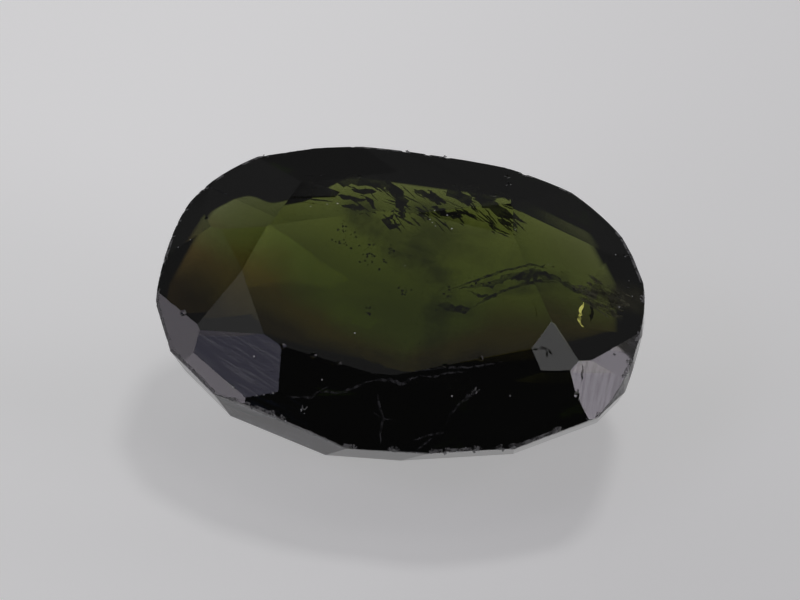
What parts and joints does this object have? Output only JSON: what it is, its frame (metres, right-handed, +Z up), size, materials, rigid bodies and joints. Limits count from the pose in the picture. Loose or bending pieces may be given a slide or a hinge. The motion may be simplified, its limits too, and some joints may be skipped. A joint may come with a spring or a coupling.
{
  "type": "cut tourmaline gemstone",
  "caption": "Loose gemstone of very dark green black tourmaline, an uneven oval with a faceted crown over a stepped pavilion and a low rounded base, leaning forward on a small flat.",
  "frame": {"origin": "middle of the outline, on the surface that the stone rests on", "axes": "+X along the long axis of the oval, +Y away from the front, +Z up"},
  "size_m": [0.014, 0.0102, 0.0061],
  "materials": {
    "tourmaline": "polished, very dark green, see-through in strong light"
  },
  "bodies": {
    "root": {"tourmaline": "tourmaline"}
  },
  "joints": []
}
